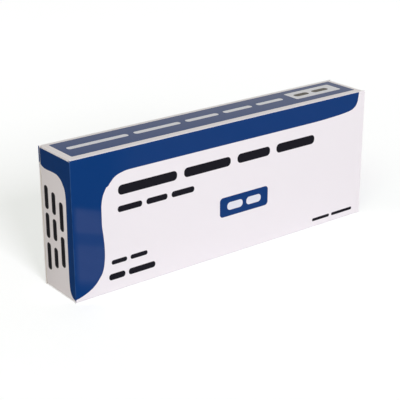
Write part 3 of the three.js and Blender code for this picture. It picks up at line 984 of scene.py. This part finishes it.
# %% [markdown]
# ## The table, the light and the camera
#
# The photograph is on white, with a soft grey shadow behind the carton. The floor is a large matte
# sheet. A little emission that only the camera sees lifts it to white, so the lamps need not be so
# strong that the white board clips, and the shadow stays. Away from the carton the emission grows
# slightly, so near the carton the floor is darker: a painted shade round it. In reflections the floor
# is grey, which keeps the ink on the board dark.

# %% Floor
FLOOR_LIFT, FAR_LIFT = 0.4, 0.06
FAR_FROM, FAR_FULL = 80 * MM, 280 * MM
LIFT_COLOUR = (0.96, 1, 1, 1)
TABLE_WHITE = colour(244, 244, 245)
TABLE_IN_GLOSS = colour(95, 95, 95)
TABLE_SIZE = 8

table_white, tree, surface = new_material("table_white", TABLE_WHITE, 0.9)
surface["Specular IOR Level"].default_value = 0.1
surface["Emission Color"].default_value = LIFT_COLOUR
rays = tree.nodes.new("ShaderNodeLightPath").outputs
away = tree.nodes.new("ShaderNodeVectorMath")
away.operation = "LENGTH"
feed(tree, away.inputs[0], tree.nodes.new("ShaderNodeTexCoord").outputs["Object"])
# Less emission near the carton paints a soft shade round it.
far = ramp(tree, away.outputs["Value"], FAR_FROM, FAR_FULL)
lift = maths(tree, "MULTIPLY_ADD", far, FAR_LIFT, FLOOR_LIFT)
feed(tree, surface["Emission Strength"], maths(tree, "MULTIPLY", rays["Is Camera Ray"], lift))
table = lay_over(tree, TABLE_WHITE, TABLE_IN_GLOSS, rays["Is Glossy Ray"])
feed(tree, surface["Base Color"], table)
deselect_all()
bpy.ops.mesh.primitive_plane_add(size=TABLE_SIZE, location=(0, 0, 0))
floor = bpy.context.object
floor.name = "table_top"
floor.data.materials.append(table_white)

# %% [markdown]
# The world is an even, soft light. What the camera sees of it is plain white, reflections see a
# slightly warm white, and the light it gives is weaker. The Light Path node tells these apart.

# %% World
AMBIENT = 0.355
WARM_AIR = (1.0, 0.975, 0.955, 1.0)
PLAIN_WHITE = (1.0, 1.0, 1.0, 1.0)
AIR_IN_GLOSS = (0.98, 0.93, 0.8, 1.0)

world = bpy.data.worlds.new("white_room")
bpy.context.scene.world = world
world.use_nodes = True
tree = world.node_tree
background = tree.nodes["Background"].inputs
rays = tree.nodes.new("ShaderNodeLightPath").outputs
seen = highest(tree, rays["Is Camera Ray"], rays["Is Glossy Ray"], rays["Is Transmission Ray"])
air = lay_over(tree, WARM_AIR, PLAIN_WHITE, seen)
feed(tree, background["Color"], lay_over(tree, air, AIR_IN_GLOSS, rays["Is Glossy Ray"]))
feed(tree, background["Strength"], maths(tree, "MULTIPLY_ADD", seen, 1 - AMBIENT, AMBIENT))

# %% [markdown]
# One large soft lamp stands in front of the front panel and a little above. It makes the front the
# brightest side and throws the shadow back. Two weak lamps on the left shade the floor softly on the
# right, and warm the end panel. Each lamp points at the carton. Places and sizes are in metres.

# %% Lamps
AIMED_AT = Vector((0, 0, 20 * MM))


def softbox(name, location, size, energy, tint):
    data = bpy.data.lights.new(name, "AREA")
    data.shape = "SQUARE"
    data.size = size
    data.energy = energy
    data.color = tint
    lamp = bpy.data.objects.new(name, data)
    bpy.context.scene.collection.objects.link(lamp)
    lamp.location = location
    lamp.rotation_euler = (AIMED_AT - lamp.location).to_track_quat("-Z", "Y").to_euler()
    print(name, "at", location, "with", energy, "W")


softbox("front_softbox", (-0.9, -4.67, 2.22), size=1.65, energy=140, tint=(1.01, 0.98, 1.06))
softbox("high_side", (-1.85, -1.3, 2.1), size=1.2, energy=13, tint=(0.86, 1.0, 0.76))
softbox("warm_side", (-3.0, 0.3, 1.0), size=1.6, energy=6, tint=(1.0, 0.58, 0.4))

# %% [markdown]
# The camera's place was found by fitting the carton's seven visible corners in the photograph:
# a long lens from the front left, a little above, turned by less than half a degree.

# %% Camera
CAMERA_PLACE = (-0.21535, -0.27430, 0.15470)
AZIMUTH, ELEVATION, ROLL = math.radians(-37.396), math.radians(21.605), math.radians(-0.125)
SENSOR, LENS = 36, 101.01
NEAREST, FURTHEST = 0.01, 20

camera_data = bpy.data.cameras.new("camera")
camera_data.sensor_width = SENSOR
camera_data.lens = LENS
camera_data.clip_start = NEAREST
camera_data.clip_end = FURTHEST
camera = bpy.data.objects.new("camera", camera_data)
bpy.context.scene.collection.objects.link(camera)
level = math.cos(ELEVATION)
looking = Vector((-math.sin(AZIMUTH) * level, math.cos(AZIMUTH) * level, -math.sin(ELEVATION)))
camera.rotation_mode = "QUATERNION"
camera.rotation_quaternion = looking.to_track_quat("-Z", "Y") @ Quaternion((0, 0, 1), ROLL)
camera.location = CAMERA_PLACE
bpy.context.scene.camera = camera
bpy.context.scene.view_settings.view_transform = "Standard"
print("camera lens:", LENS, "mm")
